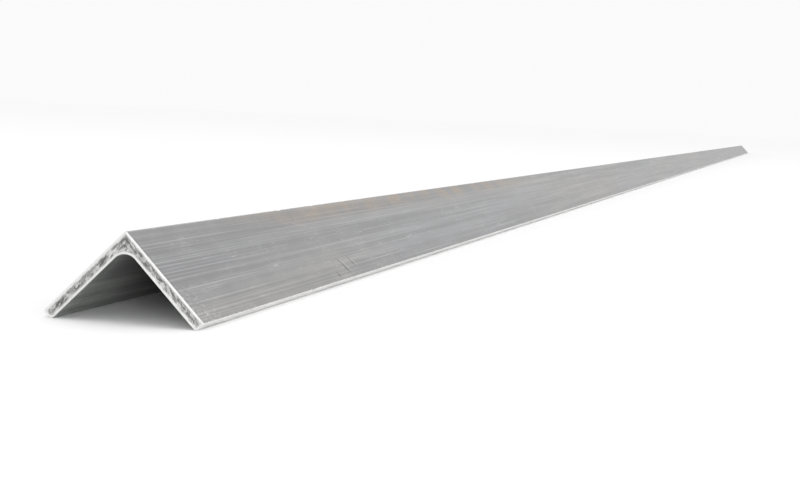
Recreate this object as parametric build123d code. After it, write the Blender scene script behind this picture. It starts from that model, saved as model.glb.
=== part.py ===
import os
from math import sqrt

from build123d import *

# A hot-rolled equal-leg steel angle, one bar of stock length. It lies heel up on the rounded
# edges of its two toes, as the bars of a nested bundle do. The bar runs along Y, and the origin
# is on the floor under the middle of the bar, in its plane of symmetry.

# Driving dimensions of the rolled section, in mm
leg = 40.0  # from the heel to the toe, outside, both legs alike
thickness = 4.0  # of each leg
root_radius = 5.0  # the fillet in the inside corner
toe_radius = 1.33  # the inner edge of a toe, rolled to a third of the thickness
toe_edge_radius = 0.4  # the outer edge of a toe
heel_radius = 0.6  # what the rolls leave on the outside corner

# Driving dimension of the cut bar, in mm
length = 6000.0

# The lowest line of a toe is the bottom of its arc, and this is how far it lies below the
# sharp corner that the two outer faces would meet in
heel_height = (leg + thickness - 2 * toe_radius) / sqrt(2) + toe_radius


# The nearest corner of a section to a point, which names the corner that a radius goes on
def corner(section, x, y):
    return section.vertices().sort_by_distance((x, y))[0]


# The rolled profile, with its legs along +X and +Y and the heel at the origin
def angle_section():
    lower_leg = Rectangle(leg, thickness, align=(Align.MIN, Align.MIN))
    upper_leg = Rectangle(thickness, leg, align=(Align.MIN, Align.MIN))
    section = lower_leg + upper_leg
    section = fillet(corner(section, thickness, thickness), root_radius)
    section = fillet(corner(section, 0, 0), heel_radius)
    for x, y in ((leg, thickness), (thickness, leg)):
        section = fillet(corner(section, x, y), toe_radius)
    for x, y in ((leg, 0), (0, leg)):
        section = fillet(corner(section, x, y), toe_edge_radius)
    return section


# The section stands on its toes in the XZ plane and is drawn out both ways along Y
def angle_bar():
    standing = Plane.XZ * Pos(0, heel_height) * Rot(0, 0, -135) * angle_section()
    return extrude(standing, amount=length / 2, both=True)


os.makedirs("parts", exist_ok=True)
bar = angle_bar()
bar.label = "angle_bar"
export_step(bar, "parts/angle_bar.step")

size = bar.bounding_box().size
print(f"section area {bar.volume / length:.1f} mm2")
print(f"bar {size.X:.2f} mm wide, {size.Y:.0f} mm long and {size.Z:.2f} mm high")
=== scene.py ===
import random
from math import copysign, cos, hypot, radians, sin, sqrt

import bmesh
import bpy
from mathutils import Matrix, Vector, noise


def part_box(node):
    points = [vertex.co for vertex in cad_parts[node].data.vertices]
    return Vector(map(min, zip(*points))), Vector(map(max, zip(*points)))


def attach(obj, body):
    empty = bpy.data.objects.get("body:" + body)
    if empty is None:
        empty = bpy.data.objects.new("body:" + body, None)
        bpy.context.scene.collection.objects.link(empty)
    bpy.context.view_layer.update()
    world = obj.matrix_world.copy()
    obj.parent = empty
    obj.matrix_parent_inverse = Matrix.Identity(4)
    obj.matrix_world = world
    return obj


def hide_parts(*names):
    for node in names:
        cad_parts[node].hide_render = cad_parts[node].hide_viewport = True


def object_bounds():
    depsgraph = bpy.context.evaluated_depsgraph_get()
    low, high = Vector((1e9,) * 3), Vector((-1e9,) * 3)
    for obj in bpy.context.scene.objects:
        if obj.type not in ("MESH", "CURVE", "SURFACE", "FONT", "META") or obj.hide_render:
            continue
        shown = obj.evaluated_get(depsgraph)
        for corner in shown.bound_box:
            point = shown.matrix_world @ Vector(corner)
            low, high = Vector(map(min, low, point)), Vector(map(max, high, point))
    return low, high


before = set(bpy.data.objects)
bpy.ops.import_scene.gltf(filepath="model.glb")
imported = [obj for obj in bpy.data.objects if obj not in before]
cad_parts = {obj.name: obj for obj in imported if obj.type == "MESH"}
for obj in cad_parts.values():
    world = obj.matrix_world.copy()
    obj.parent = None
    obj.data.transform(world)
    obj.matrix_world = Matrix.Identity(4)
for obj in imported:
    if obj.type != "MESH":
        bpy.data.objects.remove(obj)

cadLow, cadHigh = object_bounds()

mm = 0.001
rootHalf = sqrt(0.5)
samePlace = 0.001 * mm    # what lies this near a plane lies on it
rolledFace, cutFace = 0, 1    # the two materials of the bar

# One rolled angle bar, heel up, in metres
angleBar = {
    "leg": 40 * mm,
    "thickness": 4 * mm,
    "rootRadius": 5 * mm,
    "toeRadius": 1.33 * mm,
    "heelRadius": 0.6 * mm,
    "toeEdgeRadius": 0.4 * mm,
    "rootSteps": 12,
    "toeSteps": 7,
    "edgeSteps": 3,
    "flatLength": 1.6 * mm,    # a line of the section longer than this is one of its flats
    "supportGap": 0.35 * mm,   # from the end of a rounding to the first cut along a flat
    "cutPitch": 6 * mm,        # of more cuts between those
    "nearStations": (2, 5, 10, 20, 35, 55, 80, 120, 170, 230, 300, 400, 500, 650, 800),   # mm from an end
    "stationPitch": 0.2,       # along the rest of the bar
    "leastStep": 0.2 * mm,     # between two stations
    "sharpAngle": 50,
}

# How the bar was sheared to length
shearedEnd = {
    "rimWidth": 0.22 * mm,     # the rolled-over rim of the cut
    "rimSteps": 2,
    "cellSize": 0.8 * mm,      # of the grid that carries the relief of the cut
    "smoothShare": 0.3,        # of the wall, from its outer face, that the blade left smooth
    "tornStep": 0.12,          # share of the wall over which the cut drops from smooth to torn
    "tornDepth": 0.2 * mm,     # how far the torn part of the cut is sunk
    "tornRoughness": 0.12 * mm,
    "tornGrain": 1.3 * mm,
    "burrShare": 0.84,         # of the wall, where the burr along the inner face begins
    "burrStep": 0.14,          # share of the wall over which it rises
    "waver": 0.12,             # of the line between smooth and torn, as a share of the wall
    "waverLength": 6 * mm,
    "cutLean": 0.3,            # a face at the end that looks along the bar by this much is cut steel
    "seed": 7,
}

# Small knocks on the edges, each pushed into the metal
edgeKnocks = {
    "count": 26,
    "depth": (0.15 * mm, 0.5 * mm),
    "reach": (1.2 * mm, 3.5 * mm),   # half its length along the bar
    "width": 1.6 * mm,
    "endGap": 6 * mm,                # none lies nearer to an end than this
    "nearStretch": 0.9,              # how far from an end they lie, in metres
    "crowding": 1.6,                 # the higher, the more of them lie close to the end
    "atNearEnd": 0.62,
    "onHeel": 0.3,
    "cuts": (-1, -0.5, 0, 0.5, 1),   # stations across a knock, in shares of its reach
    "seed": 41,
}


# How the bar's surface is laid out flat on a map of its own, in shares of the map's side
surfaceMap = {
    "endStretch": 0.4,    # metres at either end of the bar that are laid out larger
    "endLength": 0.78,    # of such a stretch on the map
    "endRow": 0.162,      # how wide it is there, seen from above or from below
    "middleRow": 0.081,   # the same for the two halves of the rest, which take the map's full side
    "gap": 0.003,
    "cutScale": 3.75,     # sides to a metre on the two cut ends
    "upright": -0.25,     # a face that leans out no further than this counts as looking up
}


# Where the two outer faces would meet, above the floor that the toes stand on
def heelHeight(d):
    return (d["leg"] + d["thickness"] - 2 * d["toeRadius"]) * rootHalf + d["toeRadius"]


heelTop = heelHeight(angleBar)
print("frame loaded, heel corner at", round(heelTop / mm, 2), "mm")


# A point of the section: u along a leg from the heel, v into it from its outer face
def legPoint(u, v, side, y):
    return Vector((side * (u - v) * rootHalf, y, heelTop - (u + v) * rootHalf))


# The u and v of a place on the bar
def legPlace(co):
    down, across = heelTop - co.z, abs(co.x)
    return (down + across) * rootHalf, (down - across) * rootHalf


# How much metal lies between a place on a cut and the outer faces, and between it and the inner
# outline, which runs round the root fillet and the two toes
def metalAround(d, co):
    u, v = legPlace(co)
    root, toe = d["rootRadius"], d["toeRadius"]
    rootCentre = d["thickness"] + root
    if u < 0.5 * d["leg"]:
        inner = hypot(max(rootCentre - u, 0), rootCentre - v) - root
    else:
        past, deep = u - d["leg"] + toe, v - d["thickness"] + toe
        inner = toe - hypot(max(past, 0), max(deep, 0)) - min(max(past, deep), 0)
    return max(v, 0), max(inner, 0)


def clamp(value):
    return min(max(value, 0.0), 1.0)


def roundCorner(bm, co, radius, steps):
    corner = min(bm.verts, key=lambda v: (v.co - co).length)
    bmesh.ops.bevel(bm, geom=[corner], affect="VERTICES", offset=radius,
                    segments=steps, profile=0.5, material=-1)


# The section as one face at the near end of the bar, from its six corners
def drawSection(bm, d, y):
    leg, wall = d["leg"], d["thickness"]
    corners = [legPoint(0, 0, 1, y), legPoint(leg, 0, 1, y), legPoint(leg, wall, 1, y),
               legPoint(wall, wall, 1, y), legPoint(leg, wall, -1, y), legPoint(leg, 0, -1, y)]
    bm.faces.new([bm.verts.new(co) for co in corners])
    roundCorner(bm, corners[0], d["heelRadius"], d["edgeSteps"])
    roundCorner(bm, corners[3], d["rootRadius"], d["rootSteps"])
    for side in (1, -1):
        roundCorner(bm, legPoint(leg, 0, side, y), d["toeEdgeRadius"], d["edgeSteps"])
        roundCorner(bm, legPoint(leg, wall, side, y), d["toeRadius"], d["toeSteps"])


# Cuts along each flat of the section, one close to either end and the rest evenly between
def cutFlats(bm, d):
    for edge in [e for e in bm.edges if e.calc_length() > d["flatLength"]]:
        start, end = (v.co.copy() for v in edge.verts)
        gap = d["supportGap"] / edge.calc_length()
        spans = max(round(edge.calc_length() / d["cutPitch"]), 1)
        even = [(i + 1) / spans for i in range(spans - 1)]
        made = bmesh.ops.subdivide_edges(bm, edges=[edge], cuts=spans + 1)
        inner = [g for g in made["geom_inner"] if isinstance(g, bmesh.types.BMVert)]
        inner.sort(key=lambda v: (v.co - start).length)
        for vert, share in zip(inner, [gap, *even, 1 - gap]):
            vert.co = start.lerp(end, share)


def allGeometry(bm):
    return bm.verts[:] + bm.edges[:] + bm.faces[:]


def drawKnocks(d, low, high, bar):
    rng = random.Random(d["seed"])
    knocks = []
    for i in range(d["count"]):
        inset = d["endGap"] + rng.random() ** d["crowding"] * d["nearStretch"]
        onHeel = rng.random() < d["onHeel"]
        knocks.append({
            "y": low + inset if rng.random() < d["atNearEnd"] else high - inset,
            "side": rng.choice((1, -1)),
            "u": 0.0 if onHeel else bar["leg"],
            "v": 0.0 if onHeel else rng.choice((0.0, bar["thickness"])),
            "depth": rng.uniform(*d["depth"]),
            "reach": rng.uniform(*d["reach"]),
        })
    return knocks


# The places along the bar where its outline is cut across, with those that the knocks need
def stationsAlong(d, low, high, knockCuts):
    near = [low + s * mm for s in d["nearStations"]]
    far = [high - s * mm for s in d["nearStations"]]
    steps = round((far[-1] - near[-1]) / d["stationPitch"])
    spaced = [near[-1] + (far[-1] - near[-1]) * i / steps for i in range(1, steps)]
    stations = []
    for y in sorted(near + far + spaced + knockCuts):
        if not stations or y - stations[-1] > d["leastStep"]:
            stations.append(y)
    return stations


# Each knock presses the metal round it towards the middle of its leg
def pressKnocks(bm, d, knocks, bar):
    for knock in knocks:
        spot = legPoint(knock["u"], knock["v"], knock["side"], knock["y"])
        middle = legPoint(bar["leg"] / 2, bar["thickness"] / 2, knock["side"], knock["y"])
        inward = (middle - spot).normalized() * knock["depth"]
        for vert in bm.verts:
            along = abs(vert.co.y - knock["y"]) / knock["reach"]
            away = (vert.co - spot).xz.length / d["width"]
            if along < 1 and away < 1:
                vert.co += inward * (1 - along ** 2) ** 2 * (1 - away ** 2) ** 2


# How deep a cut lies under the end plane. The wall is smooth by its outer face, where the blade
# went in, and torn beyond, up to the burr along its inner face
def cutDepth(d, bar, co):
    outside, inside = metalAround(bar, co)
    share = outside / max(outside + inside, 1e-9)
    waver = d["waver"] * noise.noise(Vector((co.x / d["waverLength"], d["seed"], 0.5)))
    torn = clamp((share - d["smoothShare"] - waver) / d["tornStep"])
    rough = noise.noise(Vector((co.x, d["seed"] * mm, co.z)) / d["tornGrain"])
    burr = clamp((share - d["burrShare"]) / d["burrStep"])
    return max(torn * (1 - burr) * (d["tornDepth"] + rough * d["tornRoughness"]), 0.0)


def liesAt(part, y):
    return all(abs(v.co.y - y) < samePlace for v in part.verts)


# A rolled rim round the cut, and a grid inside it that takes the relief
def shapeEnd(bm, d, bar, y, outward):
    outline = [e for e in bm.edges if e.is_manifold and liesAt(e, y)
               and any(abs(f.normal.y) < d["cutLean"] for f in e.link_faces)]
    bmesh.ops.bevel(bm, geom=outline, affect="EDGES", offset=d["rimWidth"],
                    segments=d["rimSteps"], profile=0.5, material=-1)
    heel = legPoint(0, 0, 1, y)
    for side in (1, -1):
        along = Vector((side * rootHalf, 0, -rootHalf))
        for i in range(1, int(bar["leg"] / d["cellSize"]) + 1):
            flat = [f for f in bm.faces if liesAt(f, y)]
            geom = {g for f in flat for g in [f, *f.edges, *f.verts]}
            bmesh.ops.bisect_plane(bm, geom=list(geom), plane_co=heel + along * i * d["cellSize"],
                                   plane_no=along, dist=samePlace)
    flat = [f for f in bm.faces if liesAt(f, y)]
    for vert in {v for f in flat for v in f.verts if all(g in flat for g in v.link_faces)}:
        vert.co.y -= outward * cutDepth(d, bar, vert.co)


# The rows of the map: the stretch of the bar in each, whether its faces look up, and its place
def mapRows(d, low, high):
    near, far = low + d["endStretch"], high - d["endStretch"]
    stretches = ((low, near, d["endLength"], d["endRow"]), (far, high, d["endLength"], d["endRow"]),
                 (near, 0, 1, d["middleRow"]), (0, far, 1, d["middleRow"]))
    rows, base = [], d["gap"]
    for start, stop, length, width in stretches:
        for looksUp in (True, False):
            rows.append((start, stop, looksUp, length - 2 * d["gap"], base, width))
            base += width + d["gap"]
    return rows


# What looks up is laid out by its distance from the heel, and what looks down by x, so that each
# face has its width on the map
def layOutSurface(bm, d, bar, low, high):
    uv = bm.loops.layers.uv.new("OFBake")
    rows = mapRows(d, low, high)
    halfWidth = max(v.co.x for v in bm.verts)
    for face in bm.faces:
        middle = face.calc_center_median()
        if face.material_index == cutFace:
            corner = Vector((d["endLength"], d["endRow"] if middle.y > 0 else d["gap"]))
            for loop in face.loops:
                loop[uv].uv = corner + d["cutScale"] * (loop.vert.co.xz + Vector((halfWidth, 0)))
            continue
        start, stop, looksUp, length, base, width = next(
            row for row in rows if row[0] < middle.y < row[1] and row[2] == (face.normal.z > d["upright"]))
        for loop in face.loops:
            co = loop.vert.co
            share = copysign(legPlace(co)[0], co.x) / bar["leg"] if looksUp else co.x / halfWidth
            along = (co.y - start) / (stop - start)
            loop[uv].uv = (d["gap"] + along * length, base + (0.5 + 0.5 * share) * width)


def buildAngleBar(d):
    low, high = (corner.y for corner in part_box("angle_bar"))
    bm = bmesh.new()
    drawSection(bm, d, low)
    cutFlats(bm, d)
    made = bmesh.ops.extrude_face_region(bm, geom=bm.faces[:])
    drawnOut = [g for g in made["geom"] if isinstance(g, bmesh.types.BMVert)]
    bmesh.ops.translate(bm, vec=(0, high - low, 0), verts=drawnOut)
    bmesh.ops.recalc_face_normals(bm, faces=bm.faces[:])
    knocks = drawKnocks(edgeKnocks, low, high, d)
    knockCuts = [k["y"] + k["reach"] * share for k in knocks for share in edgeKnocks["cuts"]]
    for y in stationsAlong(d, low, high, knockCuts):
        bmesh.ops.bisect_plane(bm, geom=allGeometry(bm), plane_co=(0, y, 0), plane_no=(0, 1, 0),
                               dist=0.1 * samePlace)
    pressKnocks(bm, edgeKnocks, knocks, d)
    shapeEnd(bm, shearedEnd, d, low, -1)
    shapeEnd(bm, shearedEnd, d, high, 1)
    bmesh.ops.recalc_face_normals(bm, faces=bm.faces[:])
    for face in bm.faces:
        face.smooth = True
        middle = face.calc_center_median()
        nearCut = min(abs(middle.y - low), abs(middle.y - high)) < 2 * shearedEnd["rimWidth"]
        isCut = nearCut and abs(face.normal.y) > shearedEnd["cutLean"]
        face.material_index = cutFace if isCut else rolledFace
    edgeGap = bm.verts.layers.float.new("edgeGap")
    for vert in bm.verts:
        vert[edgeGap] = min(metalAround(d, vert.co))
    layOutSurface(bm, surfaceMap, d, low, high)
    mesh = bpy.data.meshes.new("angleBar")
    bm.to_mesh(mesh)
    bm.free()
    mesh.set_sharp_from_angle(angle=radians(d["sharpAngle"]))
    bar = bpy.data.objects.new("angleBar", mesh)
    bpy.context.collection.objects.link(bar)
    return bar


# The finish of the rolled faces: a dull grey zinc coat. A range is where a pattern begins to show
# and where it shows in full, and the share after it is how strongly
zincSkin = {
    "cool": (0.345, 0.347, 0.356),
    "warm": (0.372, 0.362, 0.352),
    "dark": (0.225, 0.225, 0.23),
    "inside": (0.45, 0.47, 0.452),    # on the two inner faces: painted fill light, lighter and greener than the outer coat to lift the shade in the hollow
    "wearAndHighlight": (0.78, 0.78, 0.77),       # where handling has polished it, and the painted highlight on the toes and heel
    "stain": (0.42, 0.32, 0.23),
    "speck": (0.10, 0.10, 0.10),
    "metallic": 0.88,
    "roughness": 0.42,
    "cloudRoughness": 0.2,            # how far the clouds and the streaks move it
    "streakRoughness": 0.12,
    "wornRoughness": 0.3,
    "relief": 0.16 * mm,              # of the finest unevenness
    "insideFrom": 0.8,                # share of the wall beyond which a face is an inner one

    # Patterns: grain size in mm across the leg, along the bar and into the wall, detail, roughness
    "grains": {
        "tone": ((60, 500, 60), 2.0, 0.5),
        "clouds": ((14, 30, 14), 4.0, 0.6),
        "streaks": ((3.5, 420, 6), 3.0, 0.5),
        "broad": ((9, 900, 14), 2.0, 0.5),
        "rollLines": ((0.55, 260, 1.0), 2.0, 0.5),
        "mottle": ((2.2, 2.8, 2.2), 4.0, 0.65),
        "fine": ((0.35, 0.45, 0.35), 2.0, 0.5),
        "flecks": ((1.3, 2.4, 1.3), 4.0, 0.65),
        "smears": ((0.9, 22, 0.9), 3.0, 0.5),
    },
    "shadeWeights": {"clouds": 0.3, "streaks": 0.45, "broad": 0.25},
    "heightWeights": {"clouds": 0.5, "rollLines": 0.12, "mottle": 0.22, "fine": 0.08},
    "markDepth": 0.1,                 # how far scuffs and scratches are sunk, in the same terms

    "toneRange": (0.35, 0.65),
    "shade": (0.6, 0.38, 0.75),
    "darkLines": (0.44, 0.28, 0.5),
    "lightLines": (0.54, 0.72, 0.3),
    "blooms": (0.5, 0.75, 0.16),
    "bloomClouds": (0.4, 0.62),
    "specks": (0.36, 0.24, 0.45),

    # The patch by the near cut, low on both legs, where the coat was rubbed
    "patchAlong": (36 * mm, 8 * mm),    # from the cut
    "patchDown": (18 * mm, 32 * mm),    # from the heel
    "patchContrast": 0.36,

    # The faint stain by the heel
    "stainDown": (13 * mm, 3 * mm),
    "stainStart": (0.05, 0.2),        # metres from the near end
    "stainEnd": (0.95, 0.5),
    "stainClouds": (0.38, 0.6),
    "stainShare": 0.5,
    "outerSkin": (1.5 * mm, 0.5 * mm),    # into the wall: stain and scratches keep to the outer face

    # Polished toes and heel, also painted lighter as a highlight where their edges catch the light
    "toeBand": (0.45 * mm, 0.135 * mm),   # from the end of the leg
    "heelBand": (0.8 * mm, 0.16 * mm),    # from the heel
    "heelShare": 0.6,                 # how polished and highlighted the heel is beside the toes
    "bandWaver": 0.7 * mm,            # how far the border of the two wanders
    "smearRange": (0.34, 0.5),
    "smearShare": 0.75,               # how polished and highlighted they are between the smears

    # Short scuffs: spindle size in mm, degrees off the bar, how rare they are and their share.
    # All but the first keep to the clouds
    "scuffs": (((0.5, 60, 9), 2, 0.74, 0.4),
               ((0.5, 16, 9), 33, 0.74, 0.7),
               ((0.45, 9, 9), -56, 0.76, 0.6)),
    "scuffEdge": 0.06,                # how far above its rarity a scuff is full
    "scuffClouds": (0.48, 0.6),

    # Single scratches on the right leg: mm from the near end and from the heel, length, width, degrees
    "scratches": ((176.5, 34.0, 11, 1.3, 66),
                  (190, 33.0, 6, 1.1, 73),
                  (291, 36.0, 17, 0.5, 38),
                  (285, 33.5, 9, 0.3, 44),
                  (418, 15.0, 24, 0.35, -24),
                  (431, 19.0, 20, 0.3, -27),
                  (96, 22.0, 13, 0.25, 62),
                  (160, 9.0, 30, 0.25, 12),
                  (690, 27.0, 40, 0.5, -33),
                  (1120, 18.0, 55, 0.6, 28)),
    "markShare": 0.55,

    # Dark rubs across the leg beside the first two of them, in the same terms
    "rubs": ((173, 33.4, 14, 3.2, 66),
             (187, 32.2, 8, 2.8, 73),
             (158, 37.0, 4.5, 3.4, 52)),
    "rubMottle": (0.3, 0.58),
    "rubShare": 0.9,
}

# The finish of a fresh cut, in the same terms
cutSteel = {
    # bright: the edges of the cut, sheared steel made lighter by a painted highlight
    "bright": (0.80, 0.80, 0.79),
    "grey": (0.30, 0.30, 0.296),
    "dark": (0.09, 0.09, 0.09),
    "roughness": 0.38,
    "coreRoughness": 0.14,            # added to it in the core
    "relief": 0.14 * mm,
    "metallic": 1.0,
    "grains": {
        "fine": ((0.42, 0.42, 0.42), 3.0, 0.6),
        "mottle": ((2.2, 1.2, 1.2), 2.0, 0.5),
        "dashes": ((4.2, 1.0, 1.2), 1.0, 0.5),
        "pits": ((1.8, 1.0, 1.0), 1.0, 0.5),
        "drag": ((0.22, 3, 2.4), 2.0, 0.5),
    },
    "ragged": ("mottle", "dashes", "pits"),   # the patterns whose borders fine grain breaks up
    "raggedness": 0.45,
    "core": (0.5 * mm, 1.1 * mm),     # from the nearer edge, where the grey core begins and is full
    "midline": (1.0 * mm, 1.6 * mm),  # the same for what keeps to the middle of the wall
    "blotches": (0.62, 0.42),
    "blotchShare": 0.4,               # how grey the core is between its blotches
    "drag": (0.5, 0.3, 0.25),
    "dashes": (0.52, 0.4, 0.7),
    "pits": (0.34, 0.27),
    "pitShare": 0.85,
    "heightWeights": {"mottle": 0.5, "fine": 0.2, "drag": 0.3},
    "pitDepth": 0.4,
}


# Adds a shader node. An input takes a plain value or another node's output
def addNode(tree, kind, inputs, **settings):
    node = tree.nodes.new("ShaderNode" + kind)
    for name, value in settings.items():
        setattr(node, name, value)
    for name, value in inputs.items():
        if isinstance(value, bpy.types.NodeSocket):
            tree.links.new(value, node.inputs[name])
        else:
            node.inputs[name].default_value = value
    return node


def calc(tree, operation, first, second=0.0, third=0.0):
    return addNode(tree, "Math", {0: first, 1: second, 2: third}, operation=operation).outputs[0]


# 0 where value is at or below low, 1 at or above high. It runs the other way if low is the larger
def between(tree, value, low, high):
    node = addNode(tree, "MapRange", {"Value": value, "From Min": low, "From Max": high},
                   interpolation_type="SMOOTHSTEP")
    return node.outputs["Result"]


def mixColour(tree, share, first, second):
    plain = {0: share, 6: first if isinstance(first, bpy.types.NodeSocket) else (*first, 1),
             7: second if isinstance(second, bpy.types.NodeSocket) else (*second, 1)}
    return addNode(tree, "Mix", plain, data_type="RGBA").outputs[2]


def mixValue(tree, share, first, second):
    return addNode(tree, "Mix", {0: share, 2: first, 3: second}, data_type="FLOAT").outputs[0]


# Noise whose grains have these sizes, in mm, across the leg, along the bar and into the wall
def grain(tree, place, sizes, detail, roughness, turn=0.0):
    scale = [1 / (s * mm) for s in sizes]
    mapped = addNode(tree, "Mapping", {"Vector": place, "Scale": scale, "Rotation": (0, 0, radians(turn))})
    node = addNode(tree, "TexNoise", {"Vector": mapped.outputs[0], "Scale": 1.0, "Detail": detail,
                                      "Roughness": roughness})
    return node.outputs["Fac"]


def times(tree, *values):
    product = values[0]
    for value in values[1:]:
        product = calc(tree, "MULTIPLY", product, value)
    return product


# Noise runs from 0 to 1 about a half, and this about nought
def centred(tree, pattern):
    return calc(tree, "SUBTRACT", pattern, 0.5)


# A pattern from where it begins to show to where it shows in full, at its share
def showing(tree, pattern, low, high, share):
    return times(tree, between(tree, pattern, low, high), share)


def weighted(tree, patterns, weights):
    parts = [times(tree, patterns[name], weight) for name, weight in weights.items()]
    total = parts[0]
    for part in parts[1:]:
        total = calc(tree, "ADD", total, part)
    return total


def newMaterial(name):
    material = bpy.data.materials.new(name)
    material.use_nodes = True
    tree = material.node_tree
    tree.nodes.clear()
    return material, tree


def finishMaterial(tree, colour, metallic, roughness, height, relief):
    bump = addNode(tree, "Bump", {"Height": height, "Strength": 1.0, "Distance": relief})
    shader = addNode(tree, "BsdfPrincipled", {"Base Color": colour, "Metallic": metallic,
                                              "Roughness": roughness, "Normal": bump.outputs[0]})
    tree.links.new(shader.outputs[0], addNode(tree, "OutputMaterial", {}).inputs[0])


# The place on the section as the shader sees it: out along a leg, y and into the wall. The first
# is u less v, below nought on the left leg, so that no pattern breaks at the heel
def sectionPlace(tree):
    inObject = addNode(tree, "TexCoord", {}).outputs["Object"]
    x, y, z = addNode(tree, "SeparateXYZ", {0: inObject}).outputs
    down = calc(tree, "SUBTRACT", heelTop, z)
    across = calc(tree, "ABSOLUTE", x)
    u = calc(tree, "MULTIPLY", calc(tree, "ADD", down, across), rootHalf)
    v = calc(tree, "MULTIPLY", calc(tree, "SUBTRACT", down, across), rootHalf)
    place = addNode(tree, "CombineXYZ", {0: calc(tree, "MULTIPLY", x, sqrt(2)), 1: y, 2: v}).outputs[0]
    return place, u, v, y


# Thin spindles where a long noise without finer detail peaks
def scuffMarks(tree, place, edge, sizes, turn, rarity):
    peaks = grain(tree, place, sizes, 0.0, 0.0, turn)
    return between(tree, peaks, rarity, rarity + edge)


# One straight scratch, thinner towards its ends
def scratch(tree, place, skin, along, down, length, width, turn):
    centre = (down * mm, cadLow.y + along * mm, 0)
    offset = addNode(tree, "VectorMath", {0: place, 1: centre}, operation="SUBTRACT").outputs[0]
    turned = addNode(tree, "VectorRotate", {"Vector": offset, "Angle": radians(turn)},
                     rotation_type="Z_AXIS")
    across, run, into = addNode(tree, "SeparateXYZ", {0: turned.outputs[0]}).outputs
    reach = between(tree, calc(tree, "ABSOLUTE", run), length / 2 * mm, 0.0)
    thin = between(tree, calc(tree, "ABSOLUTE", across), width / 2 * mm, 0.0)
    return times(tree, reach, thin, between(tree, into, *skin))


def strongest(tree, masks):
    total = masks[0]
    for mask in masks[1:]:
        total = calc(tree, "MAXIMUM", total, mask)
    return total


# Where the coat is polished and a highlight is painted: the toes and the heel, with an uneven border
def edgeWearAndHighlight(tree, d, bar, u, grains):
    uneven = times(tree, centred(tree, grains["mottle"]), d["bandWaver"])
    edge = calc(tree, "ADD", u, uneven)
    toe = between(tree, edge, *(bar["leg"] - gap for gap in d["toeBand"]))
    heel = between(tree, edge, *d["heelBand"])
    smears = between(tree, grains["smears"], *d["smearRange"])
    return times(tree, calc(tree, "MAXIMUM", toe, times(tree, heel, d["heelShare"])),
                 mixValue(tree, smears, d["smearShare"], 1.0))


def makeZincSkin(d, bar):
    material, tree = newMaterial("zincSkin")
    place, u, v, y = sectionPlace(tree)
    grains = {name: grain(tree, place, *setting) for name, setting in d["grains"].items()}
    clouds, mottle, rollLines = grains["clouds"], grains["mottle"], grains["rollLines"]
    fromNear = calc(tree, "SUBTRACT", y, cadLow.y)

    # The coat itself, with its streaks and roll lines
    colour = mixColour(tree, between(tree, grains["tone"], *d["toneRange"]), d["cool"], d["warm"])
    # Painted fill light: the inner faces get a lighter, greener colour that stands in for light reaching
    # the shaded hollow
    inside = between(tree, v, d["insideFrom"] * bar["thickness"], bar["thickness"])
    colour = mixColour(tree, inside, colour, d["inside"])
    shade = weighted(tree, grains, d["shadeWeights"])
    colour = mixColour(tree, showing(tree, shade, *d["shade"]), colour, d["dark"])
    colour = mixColour(tree, showing(tree, rollLines, *d["darkLines"]), colour, d["dark"])
    colour = mixColour(tree, showing(tree, rollLines, *d["lightLines"]), colour, d["wearAndHighlight"])
    blooms = times(tree, showing(tree, mottle, *d["blooms"]), between(tree, clouds, *d["bloomClouds"]))
    colour = mixColour(tree, blooms, colour, d["wearAndHighlight"])
    colour = mixColour(tree, showing(tree, grains["fine"], *d["specks"]), colour, d["speck"])

    # The rubbed patch
    patch = times(tree, between(tree, fromNear, *d["patchAlong"]), between(tree, u, *d["patchDown"]),
                  centred(tree, grains["flecks"]))
    colour = mixColour(tree, between(tree, patch, 0.0, d["patchContrast"]), colour, d["wearAndHighlight"])
    colour = mixColour(tree, between(tree, patch, 0.0, -d["patchContrast"]), colour, d["dark"])

    # The stain
    stretch = times(tree, between(tree, fromNear, *d["stainStart"]),
                    between(tree, fromNear, *d["stainEnd"]))
    stain = times(tree, between(tree, u, *d["stainDown"]), between(tree, v, *d["outerSkin"]), stretch,
                  between(tree, clouds, *d["stainClouds"]))
    colour = mixColour(tree, times(tree, stain, d["stainShare"]), colour, d["stain"])

    # Scuffs, scratches and rubs
    some = between(tree, clouds, *d["scuffClouds"])
    marks = [times(tree, scuffMarks(tree, place, d["scuffEdge"], *spindle), share)
             for *spindle, share in d["scuffs"]]
    marks = marks[:1] + [times(tree, mark, some) for mark in marks[1:]]
    marks += [scratch(tree, place, d["outerSkin"], *mark) for mark in d["scratches"]]
    marks = strongest(tree, marks)
    colour = mixColour(tree, times(tree, marks, d["markShare"]), colour, d["wearAndHighlight"])
    rubs = strongest(tree, [scratch(tree, place, d["outerSkin"], *mark) for mark in d["rubs"]])
    rubs = times(tree, rubs, between(tree, mottle, *d["rubMottle"]))
    colour = mixColour(tree, times(tree, rubs, d["rubShare"]), colour, d["speck"])

    # Painted highlight along the toes and heel, together with the polished coat there
    wearAndHighlight = edgeWearAndHighlight(tree, d, bar, u, grains)
    colour = mixColour(tree, wearAndHighlight, colour, d["wearAndHighlight"])

    rough = calc(tree, "ADD", d["roughness"], times(tree, centred(tree, clouds), d["cloudRoughness"]))
    streaked = times(tree, centred(tree, grains["streaks"]), d["streakRoughness"])
    rough = mixValue(tree, wearAndHighlight, calc(tree, "ADD", rough, streaked), d["wornRoughness"])

    height = calc(tree, "SUBTRACT", weighted(tree, grains, d["heightWeights"]),
                  times(tree, marks, d["markDepth"]))
    finishMaterial(tree, colour, d["metallic"], rough, height, d["relief"])
    return material


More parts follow.
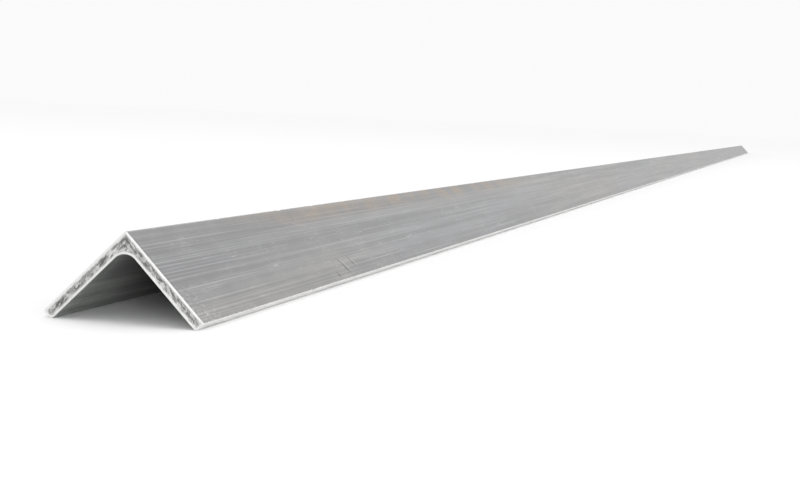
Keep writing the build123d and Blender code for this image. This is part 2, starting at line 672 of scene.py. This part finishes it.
def makeCutSteel(d):
    material, tree = newMaterial("cutSteel")
    place = sectionPlace(tree)[0]
    edgeGap = addNode(tree, "Attribute", {}, attribute_name="edgeGap").outputs["Fac"]
    grains = {name: grain(tree, place, *setting) for name, setting in d["grains"].items()}
    breakUp = times(tree, centred(tree, grains["fine"]), d["raggedness"])
    for name in d["ragged"]:
        grains[name] = calc(tree, "ADD", grains[name], breakUp)

    # The core of the wall is greyer than its edges, which are bright sheared steel and also a painted
    # highlight where the edges catch the light; the dark dashes and pits keep to its middle
    core = between(tree, edgeGap, *d["core"])
    midline = between(tree, edgeGap, *d["midline"])
    blotches = between(tree, grains["mottle"], *d["blotches"])
    greyness = times(tree, core, mixValue(tree, blotches, d["blotchShare"], 1.0))
    colour = mixColour(tree, greyness, d["bright"], d["grey"])
    colour = mixColour(tree, showing(tree, grains["drag"], *d["drag"]), colour, d["grey"])
    dashes = times(tree, showing(tree, grains["dashes"], *d["dashes"]), midline)
    colour = mixColour(tree, dashes, colour, d["dark"])
    pits = times(tree, between(tree, grains["pits"], *d["pits"]), midline)
    colour = mixColour(tree, times(tree, pits, d["pitShare"]), colour, d["dark"])

    rough = calc(tree, "ADD", d["roughness"], times(tree, core, d["coreRoughness"]))
    height = calc(tree, "SUBTRACT", weighted(tree, grains, d["heightWeights"]),
                  times(tree, pits, d["pitDepth"]))
    finishMaterial(tree, colour, d["metallic"], rough, height, d["relief"])
    return material


bar = buildAngleBar(angleBar)
bar.data.materials.append(makeZincSkin(zincSkin, angleBar))
bar.data.materials.append(makeCutSteel(cutSteel))
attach(bar, "root")
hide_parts("angle_bar")
print("angle bar made,", len(bar.data.polygons), "faces")

# The studio, in metres
studio = {
    "floorRadius": 150,
    "floorSides": 96,
    "floorColour": (0.99, 0.99, 0.99),
    "floorRoughness": 0.7,
    "world": (1.0, 1.0, 1.0),
    "worldStrength": 0.96,
}

# Soft lights: where each stands, what it is aimed at, its two sides and its power
softLights = {
    "keyLight": {"place": (3.2, -2.6, 3.4), "aim": (0, -2.0, 0), "size": (3.0, 5.0), "power": 30},
    "lowLight": {"place": (1.1, -4.9, 0.25), "aim": (0, -3, 0), "size": (0.9, 0.4), "power": 18},
}


def makeFloor(d):
    bm = bmesh.new()
    bmesh.ops.create_circle(bm, cap_ends=True, segments=d["floorSides"], radius=d["floorRadius"])
    mesh = bpy.data.meshes.new("floor")
    bm.to_mesh(mesh)
    bm.free()
    floor = bpy.data.objects.new("floor", mesh)
    bpy.context.collection.objects.link(floor)
    material, tree = newMaterial("paleFloor")
    shader = addNode(tree, "BsdfPrincipled", {"Base Color": (*d["floorColour"], 1),
                                              "Roughness": d["floorRoughness"],
                                              "Specular IOR Level": 0.0})
    tree.links.new(shader.outputs[0], addNode(tree, "OutputMaterial", {}).inputs[0])
    mesh.materials.append(material)


def makeWorld(d):
    world = bpy.data.worlds.new("studio")
    world.use_nodes = True
    background = world.node_tree.nodes["Background"]
    background.inputs["Color"].default_value = (*d["world"], 1)
    background.inputs["Strength"].default_value = d["worldStrength"]
    bpy.context.scene.world = world


def makeLight(name, d):
    light = bpy.data.lights.new(name, "AREA")
    light.shape = "RECTANGLE"
    light.size, light.size_y = d["size"]
    light.energy = d["power"]
    lamp = bpy.data.objects.new(name, light)
    lamp.location = d["place"]
    lamp.rotation_euler = (Vector(d["aim"]) - lamp.location).to_track_quat("-Z", "Y").to_euler()
    bpy.context.collection.objects.link(lamp)


makeFloor(studio)
makeWorld(studio)
for name, light in softLights.items():
    makeLight(name, light)
print("studio made")

# Where the viewer stands, a little above the bar and in front of its near end
viewer = {
    "place": (0.2074, -3.4593, 0.0709),
    "turn": -14.15,   # degrees from +Y towards +X
    "tilt": -4.5,     # degrees above level
    "roll": 2.8,      # degrees that the camera leans to its left
    "lens": 69.2,
    "sees": (0.01, 400),    # from this near to this far, in metres
}


def makeCamera(d):
    camera = bpy.data.objects.new("camera", bpy.data.cameras.new("camera"))
    camera.data.lens = d["lens"]
    camera.data.clip_start, camera.data.clip_end = d["sees"]
    turn, tilt = radians(d["turn"]), radians(d["tilt"])
    forward = Vector((sin(turn) * cos(tilt), cos(turn) * cos(tilt), sin(tilt)))
    camera.location = d["place"]
    camera.rotation_euler = forward.to_track_quat("-Z", "Y").to_euler()
    camera.rotation_euler.rotate_axis("Z", radians(d["roll"]))
    bpy.context.collection.objects.link(camera)
    bpy.context.scene.camera = camera


makeCamera(viewer)
bpy.context.scene.view_settings.view_transform = "Standard"
print("camera set")
